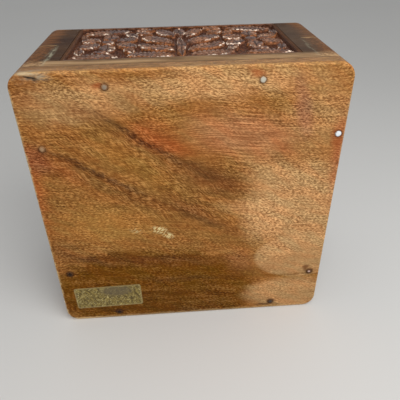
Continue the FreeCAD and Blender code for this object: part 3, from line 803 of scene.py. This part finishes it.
def wood(name, pale, middle, dark, axis, roughness, seed):
    """Streaked wood with fine pores: the paint and its roughness, for more to be laid on."""
    paint = Paint(name, middle)
    moved = paint.vector("ADD", paint.place, Vector(SEED_STEP) * seed)
    sway = paint.noise(45, place=moved, detail=1)
    sway = paint.times(paint.math("SUBTRACT", sway, 0.5), 14)
    sways = {letter: 0.0 if letter == axis else sway for letter in "XYZ"}
    swayed = paint.vector("ADD", moved, paint.add("ShaderNodeCombineXYZ", sways).outputs[0])
    bands = paint.noise(70, 9, axis=axis, place=swayed, detail=3)
    streaks = paint.noise(26, 1.5, axis=axis, place=swayed, detail=4, roughness=0.6)
    fibres = paint.noise(2.6, 0.3, axis=axis, place=swayed)
    pores = paint.noise(2.2, 0.26, axis=axis, place=moved, detail=1)
    paint.lay(pale, paint.ramp(bands, 0.3, 0.7))
    paint.lay(dark, paint.ramp(streaks, 0.52, 0.78, 0, 0.75))
    paint.lay(dark, paint.ramp(fibres, 0.3, 0.75, 0, 0.35))
    paint.lay(dark, paint.ramp(pores, 0.6, 0.72, 0, 0.6))
    rough = paint.ramp(fibres, 0.2, 0.8, roughness - 0.08, roughness + 0.1)
    paint.set(Roughness=rough, Specular_IOR_Level=PLAIN_GLOSS)
    paint.bump(paint.math("SUBTRACT", fibres, paint.ramp(pores, 0.6, 0.72)), 0.06)
    return paint, rough


def lay_figure(paint, bent, grain):
    """Patches of colour and dark broken streaks of the base."""
    for _, centre, lengths, turn, tone, weight, core in BASE_FIGURE:
        place = grain if core > CRISP else bent
        mask = paint.patch(place, (*centre, 0), (*lengths, THROUGH), turn, core)
        paint.lay(tone, paint.times(mask, weight))
    for _, start, end, half_width, weight in BASE_STREAKS:
        middle = ((start[0] + end[0]) / 2, (start[1] + end[1]) / 2, 0)
        turn = math.degrees(math.atan2(end[1] - start[1], end[0] - start[0]))
        lengths = (math.dist(start, end) / 2, half_width, THROUGH)
        breaks = paint.ramp(paint.noise(1.6, 0.6, turn), 0.35, 0.6, 0.3 * weight, weight)
        paint.lay(DARK, paint.times(paint.patch(bent, middle, lengths, turn, 0.2), breaks))


def base_grain(paint, bent, grain):
    """Light and dark of the base's grain, with a painted shade on its sides, in doublings of brightness,
    and its ruled lines and flecks.
    """
    wavy = paint.shifted(grain, paint.noise(3.6, 3, detail=1), 1.1)
    lines = paint.noise(12, 0.42, 2, grain)
    bands = paint.noise(60, 2.4, 2, bent)
    mottle = paint.noise(6, 3, 20, detail=3)
    flecks = paint.noise(1.05, 0.36, 10, wavy, roughness=0.6)
    sloped = paint.noise(1.8, 0.34, 34, bent, roughness=0.6)
    flow = paint.noise(32, 2.2, 34, bent)
    flowing = paint.patch(grain, (-16, -16, 0), (46, 19, THROUGH), 34, 0.5)
    ruled = paint.patch(grain, (14, -28, 0), (34, 16, THROUGH), 4, 0.3)
    flecks = paint.plus(flecks, paint.times(paint.math("SUBTRACT", sloped, flecks), flowing))
    stops = paint.plus(
        paint.times(paint.swing(lines), paint.ramp(ruled, 0, 1, 0.45, 0.9)),
        paint.times(paint.swing(flecks), paint.ramp(ruled, 0, 1, 1.18, 0.78)),
        paint.times(paint.swing(bands), paint.ramp(paint.axis("Y"), 10, 26, 0.1, 0.4)),
        paint.times(paint.swing(flow, 0.35), flowing),
        paint.ramp(mottle, 0.25, 0.75, -0.25, 0.25),
        # Painted shade: the base's sides a little darker than its underside
        paint.ramp(paint.axis("Z"), 0.6, 1.6, 0.05, -0.1),
    )
    calm = paint.ramp(paint.noise(22, 12, 30, detail=1), 0.35, 0.65, 0.55, 1)
    smooth = paint.patch(bent, (42, 36, 0), (30, 22, THROUGH), core=0.5)
    return paint.times(stops, calm, paint.ramp(smooth, 0, 1, 1, 0.6)), lines, flecks


def lay_grain(paint, stops):
    """Warm and cool patches of the base, its light and dark, and more warmth where it is dark."""
    warm = paint.ramp(paint.noise(12, 4, 30), 0.35, 0.65)
    paint.lay(paint.mix(warm, COOL_CAST, WARM_CAST), 1, "MULTIPLY")
    paint.lay(paint.math("POWER", 2, paint.math("MINIMUM", stops, 0.8)), 1, "MULTIPLY")
    paint.lay(paint.mix(paint.ramp(stops, -0.9, 0.1), WARM_SHADE, NO_CAST), 1, "MULTIPLY")
    paint.lay(SCUFF, paint.ramp(stops, 0, 1.4, 0, 0.16))


def lay_marks(paint, bent):
    """Scuffs, a worn corner, stains, dents and a dark ring round each nail on the base."""
    scratches = paint.ramp(paint.noise(1.3, 0.5, -35), 0.44, 0.56)
    for _, centre, lengths, weight in BASE_SCUFFS:
        scuff = paint.patch(paint.place, (*centre, 0), (*lengths, THROUGH), 15, 0.2)
        paint.lay(CHALK, paint.times(scuff, scratches, weight))
    rubs = paint.ramp(paint.noise(3, 0.8, detail=3), 0.4, 0.6, 0.2, 0.8)
    paint.lay(WORN_GREY, paint.times(paint.patch(bent, *WORN_CORNER, core=0.2), rubs))
    for _, centre, lengths, tone, weight in BASE_STAINS:
        stain = paint.patch(bent, (*centre, 0), (*lengths, STAIN_REACH), core=0.2)
        paint.lay(tone, paint.times(stain, weight))
    for across, up, _ in nail_places():
        ring = paint.patch(paint.place, (across, up, 0), (NAIL_RING, NAIL_RING, NAIL_REACH), core=0.5)
        paint.lay(DARK, paint.times(ring, 0.75 if up > 0 else 0.4))


def worn_edge(paint):
    """1 in ragged spots along the base's lower edge."""
    ragged = paint.noise(2.6, detail=4, roughness=0.7)
    more_behind = paint.ramp(paint.axis("Y"), 44, 50, 0, 0.8)
    edge = paint.plus(paint.off_middle("MAXIMUM"), paint.times(ragged, 2.4), more_behind)
    return paint.times(
        paint.ramp(edge, HALF_SIDE + 0.3, HALF_SIDE + 1.2),
        paint.ramp(paint.axis("X"), -30, -48, 0.3, 0.85),
        paint.ramp(paint.axis("Y"), -49, -45, 0.4, 1),
        paint.ramp(paint.axis("Z"), 1.6, 0.4),
    )


def near_height(paint, height, reach):
    """1 at a height on the box, such as a joint between boards, and 0 away from it."""
    away = paint.math("ABSOLUTE", paint.math("SUBTRACT", paint.axis("Z"), height))
    return paint.ramp(away, reach, 0.1)


def lay_joint_dirt(paint):
    """Dirt along the joint between the base and the walls."""
    paint.lay(DARK, paint.times(near_height(paint, BASE_TOP, 0.75), 0.55))


def paint_base():
    """The base board: figure, broken streaks, short pores, scuffs and worn edges."""
    paint = Paint("base_wood", AMBER)
    bends = paint.noise(15, 6, 12, detail=4, roughness=0.6)
    bent = paint.shifted(paint.place, bends, 5)
    grain = paint.shifted(paint.place, paint.noise(50, detail=1), 6)
    stops, lines, flecks = base_grain(paint, bent, grain)
    lay_figure(paint, bent, grain)
    lay_grain(paint, stops)
    pores = paint.noise(1.5, 0.26, 6, grain, detail=1)
    paint.lay(BROWN, paint.ramp(pores, 0.64, 0.76, 0, 0.4))
    lay_marks(paint, bent)
    paint.lay(SCUFF, worn_edge(paint))
    # The base's sides greyer and darker: their own tone and a painted shade
    side = paint.mix(paint.ramp(lines, 0.36, 0.64), *SIDE_TONE_AND_SHADE)
    paint.lay(side, paint.ramp(paint.axis("Z"), 0.8, 2, 0, 0.6))
    lay_joint_dirt(paint)
    paint.bump(paint.math("SUBTRACT", stops, paint.ramp(pores, 0.64, 0.76)), 0.03)
    return paint.finish(Roughness=paint.ramp(flecks, 0.2, 0.8, 0.5, 0.68), Specular_IOR_Level=BASE_GLOSS)


def paint_wall(name, axis, seed, residue):
    """Wall board, worn pale at its corners and near the base, with residue in its corner joints."""
    paint, _ = wood(name, *WALL_WOOD, DARK, axis, 0.55, seed)
    corner = paint.off_middle("MINIMUM")
    ragged = paint.noise(11, 2, axis=axis, detail=5, roughness=0.65)
    frayed = paint.times(ragged, 9)
    grain = paint.ramp(paint.noise(20, 0.9, axis=axis, detail=3), 0.36, 0.64)
    at_corner = paint.ramp(paint.plus(corner, frayed), INNER + 3.5, INNER + 8.5, 0, 0.6)
    paint.lay(paint.mix(grain, *WALL_WORN), at_corner)
    at_base = paint.ramp(paint.math("SUBTRACT", paint.axis("Z"), frayed), 9, 3, 0, 0.8)
    paint.lay(paint.mix(grain, *WALL_BARE), at_base)
    paint.lay(DUST, paint.times(paint.patch(paint.place, *DUSTY_END, core=0.4), 0.3))
    on_fingers = paint.ramp(corner, INNER - 0.4, INNER + 0.4)
    chipped = paint.ramp(ragged, 0.4, 0.6, 0.1, 0.5)
    paint.lay(SCUFF, paint.times(on_fingers, near_height(paint, FINGER_EDGE, 0.7), chipped))
    crumbs = paint.noise(3.5, 1.2, axis="Z", detail=4)
    for across, weight in ((-INNER, residue), (INNER, 0.4 * residue)):
        for along in (-HALF_SIDE, HALF_SIDE):
            line = paint.patch(paint.place, (across, along, RESIDUE_HEIGHT), RESIDUE_LENGTHS, core=0.2)
            paint.lay(RESIDUE, paint.times(line, paint.ramp(crumbs, 0.4, 0.62, 0, weight)))
    lay_joint_dirt(paint)
    return paint.finish(Specular_IOR_Level=WALL_GLOSS)


def paint_carving(name, axis, seed, edge_glint, gloss, seam=None):
    """Stained carving: dark stain and a painted grey sheen on top, dark in its ground, brown on its cut
    sides, pale edges that are partly wear and partly painted highlights.

    The edge paleness, from 0 to 1, is how pale the edges are painted where they are most worn, as wear
    and as painted highlights, and gloss is what is left of the shine. A seam is how far out from a
    wall's middle its panel ends, where dirt gathers and a painted shade darkens the gap.
    """
    paint, rough = wood(name, *CARVED_WOOD, DARK, axis, 0.42, seed)
    depth = paint.add("ShaderNodeAttribute", attribute_name="carved_depth").outputs["Fac"]
    relief = paint.add("ShaderNodeAttribute", attribute_name="carved_relief").outputs["Fac"]
    paint.lay(SMOKE, paint.ramp(paint.noise(9, detail=3), 0.44, 0.58, 0, 0.8))
    on_leaf = paint.ramp(relief, 0.9, 1)
    top = paint.math("MAXIMUM", on_leaf, paint.ramp(depth, 0.11, 0.05))
    # Tops of the leaves and flat faces: dark stain with a painted grey sheen
    stain = paint.mix(paint.ramp(paint.noise(7), 0.42, 0.58), *STAIN_AND_SHEEN)
    paint.lay(stain, paint.times(top, 0.75))
    paint.lay(DEEP_RED, paint.times(on_leaf, paint.ramp(depth, 0.35, 0.7, 0, 0.6)))
    # Pale edges of the leaves: partly wear, partly painted highlights standing in for glints
    edge = paint.times(
        paint.ramp(relief, 0.5, 0.8),
        paint.ramp(relief, 1, 0.94),
        paint.ramp(paint.noise(3.6, 1.3, axis=axis, detail=3), 0.46, 0.6, 0, edge_glint),
        paint.ramp(paint.noise(6, detail=1), 0.4, 0.54, 0.05, 1),
    )
    paint.lay(RUBBED_EDGE_AND_GLINT, edge)
    worn = paint.noise(2.5, 5, axis="Z", detail=4, roughness=0.65)
    worn = paint.times(paint.ramp(worn, 0.58, 0.68, 0, 0.45), paint.ramp(relief, 0.7, 0.95))
    paint.lay(WORN_LEAF, worn)
    border = paint.times(paint.ramp(relief, 0.1, 0), paint.ramp(depth, 0.1, 0.04))
    grain = paint.noise(24, 0.8, axis=axis, detail=4, roughness=0.6)
    paint.lay(paint.mix(paint.ramp(grain, 0.36, 0.64), *RIM), paint.times(border, 0.85))
    ground = paint.times(paint.ramp(relief, 0.4, 0.1), paint.ramp(depth, 0.05, 0.4, 0, 0.85))
    paint.lay(DEEP_RED, ground)
    stops = paint.ramp(paint.noise(1.3, 0.5, axis=axis), 0.3, 0.7, -0.8, 0.9)
    stops = paint.times(stops, paint.ramp(border, 0, 1, 1, 0.25))
    paint.lay(paint.math("POWER", 2, stops), 1, "MULTIPLY")
    if seam:
        # Dirt and a painted shade in the gap along the panel's seam
        dirt = paint.ramp(paint.off_middle("MINIMUM"), seam - 1.3, seam - 0.5)
        paint.lay(SEAM_DIRT_AND_SHADE, paint.times(dirt, 0.75))
        paint.set(Roughness=paint.math("MAXIMUM", rough, dirt))
    return paint.finish(Specular_IOR_Level=gloss)


def paint_plain(name, pale, middle, dark, axis, seed):
    """Unfinished wood of the inside."""
    paint, _ = wood(name, pale, middle, dark, axis, 0.6, seed)
    return paint.finish()


def steel(name, bright, dull, roughness):
    """Steel with dull patches, for more to be laid on."""
    paint = Paint(name, bright)
    spots = paint.noise(2.4)
    paint.lay(dull, paint.ramp(spots, 0.4, 0.65))
    paint.set(Metallic=0.8, Roughness=paint.ramp(spots, 0.3, 0.7, roughness, roughness + 0.2))
    return paint


def paint_nails():
    """Nail heads rusted like the wood round them, some with a painted highlight in the middle and some
    dark there.
    """
    paint = steel("nail_steel", *RUST, 0.45)
    paint.lay(RUST_DARK, paint.ramp(paint.axis("Y"), -10, 20, 0, 0.85))
    ragged = paint.shifted(paint.place, paint.noise(0.8), 0.35)
    # Each nail's middle, with painted highlights on the pale ones
    for (across, up, _), (_, tone, reach) in zip(nail_places(), NAIL_MIDDLES_AND_HIGHLIGHTS):
        paint.lay(tone, paint.patch(ragged, (across, up, 0), (reach, reach, NAIL_REACH), core=0.5))
    return paint.finish(Metallic=0.15, Specular_IOR_Level=NAIL_GLOSS)


def paint_foil():
    """Worn gold foil with pale painted highlights along its crinkles, a dirty smear, and a paler pressed
    border.
    """
    paint = Paint("sticker_foil", FOIL_DARK)
    wear = paint.noise(1.8, 0.9, 55, detail=4, roughness=0.65)
    creases = paint.noise(1.2, 0.36, -40, detail=3)
    paint.lay(FOIL_GOLD, paint.ramp(wear, 0.34, 0.66))
    # Pale painted highlights along the crinkles
    paint.lay(FOIL_CREASE_HIGHLIGHT, paint.ramp(creases, 0.54, 0.66, 0, 0.8))
    paint.lay(FOIL_SMEAR, paint.times(paint.patch(paint.place, *FOIL_MARK, core=0.5), 0.7))
    local = paint.mapped(paint.place, (*STICKER_CENTRE, 0), (1, 1, 1), STICKER_TURN)
    parts = paint.add("ShaderNodeSeparateXYZ", {0: local}).outputs
    aside = paint.math("SUBTRACT", paint.math("ABSOLUTE", parts["X"]), STICKER_LENGTH / 2)
    above = paint.math("SUBTRACT", paint.math("ABSOLUTE", parts["Y"]), STICKER_HEIGHT / 2)
    paint.lay(FOIL_BORDER, paint.ramp(paint.math("MAXIMUM", aside, above), -0.7, -0.4, 0, 0.65))
    paint.bump(wear, 0.05)
    rough = paint.ramp(wear, 0.3, 0.7, 0.35, 0.6)
    return paint.finish(Metallic=0.2, Roughness=rough, Specular_IOR_Level=FOIL_GLOSS)


def paint_floor():
    """A pale matt surface that can be seen only from its front."""
    paint = Paint("pale_floor", FLOOR_PALE)
    paint.lay(FLOOR_GREY, paint.ramp(paint.noise(300, detail=1), 0.3, 0.7, 0, 0.25))
    back = paint.add("ShaderNodeNewGeometry").outputs["Backfacing"]
    clear = paint.add("ShaderNodeBsdfTransparent").outputs[0]
    both = paint.add("ShaderNodeMixShader", {0: back, 1: paint.shader.outputs[0], 2: clear})
    paint.feed(paint.tree.nodes["Material Output"].inputs["Surface"], both.outputs[0])
    return paint.finish(Roughness=0.9)


def cover(node, material):
    """Give a CAD node or a new piece one material."""
    thing = NODES[node] if isinstance(node, str) else node
    thing.data.materials.clear()
    thing.data.materials.append(material)


def ease(node, width):
    """Slightly round the edges of a CAD node where light would catch them."""
    bevel = NODES[node].modifiers.new("eased", "BEVEL")
    bevel.width = width * MM
    bevel.segments = 2
    bevel.limit_method = "ANGLE"
    bevel.angle_limit = math.radians(50)


# Floor behind the back wall: side in metres, gap in millimetres
FLOOR_SIDE = 5.0
FLOOR_GAP = 0.2

# Surrounding light: its tint, and its strength as it lights matt surfaces and as it is seen
WORLD_TINT = (0.98, 0.99, 1.0, 1.0)
WORLD_LIGHT = 0.42
WORLD_SEEN = 0.8

# Lamps: power in watts, side in metres, place in millimetres; all of them point at one place
LAMPS = (
    ("key", 1.1, 0.3, (90, -270, -190)),
    ("fill", 3.4, 0.4, (-220, 420, 480)),
)
LAMP_TARGET = (0.0, 0.0, 20.0)

# Camera of the picture: places, roll in degrees, lens and sensor, and its nearest sight in metres
CAMERA_PLACE = (-4.07, -87.95, -123.65)
CAMERA_TARGET = (3.80, -5.13, 0.0)
CAMERA_ROLL = -7.48
CAMERA_LENS = 38.78
CAMERA_SENSOR = 36.0
CAMERA_NEAR = 0.005


def make_stage():
    """The pale surface on which the box lies on its back wall."""
    bpy.ops.mesh.primitive_plane_add(size=FLOOR_SIDE, location=(0, (BOX_HIGH.y + FLOOR_GAP) * MM, 0),
                                     rotation=(math.radians(90), 0, 0))
    floor = bpy.context.object
    floor.name = "floor"
    cover(floor, paint_floor())
    for use in ("diffuse", "glossy", "transmission", "shadow"):
        setattr(floor, f"visible_{use}", False)


def aimed(place, target):
    """Turn of a lamp or a camera at a place that looks at a target."""
    return (Vector(target) - Vector(place)).to_track_quat("-Z", "Y")


def light_scene():
    """Even surrounding light, a soft lamp above the box as it lies and another behind its top."""
    world = bpy.data.worlds.new("studio")
    bpy.context.scene.world = world
    nodes = Nodes(world)
    rays = nodes.add("ShaderNodeLightPath").outputs
    seen = rays["Is Camera Ray"]
    for kind in ("Is Glossy Ray", "Is Transmission Ray"):
        seen = nodes.math("MAXIMUM", seen, rays[kind])
    levels = {"Value": seen, "To Min": WORLD_LIGHT, "To Max": WORLD_SEEN}
    background = nodes.tree.nodes["Background"]
    nodes.feed(background.inputs["Color"], WORLD_TINT)
    nodes.feed(background.inputs["Strength"], nodes.add("ShaderNodeMapRange", levels).outputs["Result"])
    for name, energy, size, place in LAMPS:
        lamp = bpy.data.lights.new(name, "AREA")
        lamp.energy = energy
        lamp.size = size
        holder = bpy.data.objects.new(name, lamp)
        holder.visible_camera = False
        holder.location = Vector(place) * MM
        holder.rotation_euler = aimed(place, LAMP_TARGET).to_euler()
        bpy.context.scene.collection.objects.link(holder)


def place_camera():
    """The camera of the picture, in front of and below the box."""
    data = bpy.data.cameras.new("camera")
    data.lens = CAMERA_LENS
    data.sensor_width = CAMERA_SENSOR
    data.clip_start = CAMERA_NEAR
    camera = bpy.data.objects.new("camera", data)
    camera.location = Vector(CAMERA_PLACE) * MM
    roll = Quaternion((0, 0, 1), math.radians(CAMERA_ROLL))
    camera.rotation_euler = (aimed(CAMERA_PLACE, CAMERA_TARGET) @ roll).to_euler()
    bpy.context.scene.collection.objects.link(camera)
    bpy.context.scene.camera = camera


carvings = {wall: make_carved_panel(wall) for wall in TURNS}
lid = make_carved_lid()
sticker = make_sticker()

for wall, axis in GRAIN_AXES.items():
    # The front wall's carving gets the palest edges, painted highlights as well as wear, and its wall
    # the most residue
    edge_glint, residue = (1.0, 0.6) if wall == "front" else (0.5, 0.25)
    seed = 5.0 + SEEDS[wall]
    carved = paint_carving(f"carved_wood_{wall}", axis, seed, edge_glint, CARVING_GLOSS, plate_half())
    cover(f"{wall}_wall", paint_wall(f"wall_wood_{wall}", axis, SEEDS[wall], residue))
    cover(carvings[wall], carved)
    cover(f"{wall}_panel", carved)
    ease(f"{wall}_wall", 0.3)
lid_wood = paint_carving("lid_wood", "X", 11.0, 0.5, LID_GLOSS)
cover(lid, lid_wood)
cover("lid_board", lid_wood)
cover("base_board", paint_base())
inner_wood = paint_plain("inner_wood", linear(190, 146, 92), linear(160, 112, 66), BROWN, "X", 12.0)
bolt_wood = paint_plain("bolt_wood", linear(176, 124, 76), linear(140, 90, 54), DARK, "X", 13.0)
dowel_wood = paint_plain("dowel_wood", linear(206, 166, 112), linear(184, 138, 86), BROWN, "Y", 14.0)
pin_steel = steel("pin_steel", linear(190, 192, 196), linear(130, 128, 126), 0.25).finish()
for side in ("left", "right"):
    cover(f"{side}_ledge", inner_wood)
    cover(f"{side}_hinge_pin", pin_steel)
for wall in SLIDING:
    cover(f"{wall}_bolt", bolt_wood)
    cover(f"{wall}_bolt_guide", inner_wood)
    cover(f"{wall}_catch", inner_wood)
    cover(f"{wall}_bolt_knob", dowel_wood)
    cover(f"{wall}_stop_peg", dowel_wood)
nail_steel = paint_nails()
cover("base_nails", nail_steel)
for index, place in enumerate(nail_places()):
    cover(make_nail_head(index, place, index + 1), nail_steel)
cover(sticker, paint_foil())

make_stage()
light_scene()
place_camera()
bpy.context.scene.view_settings.view_transform = "Standard"
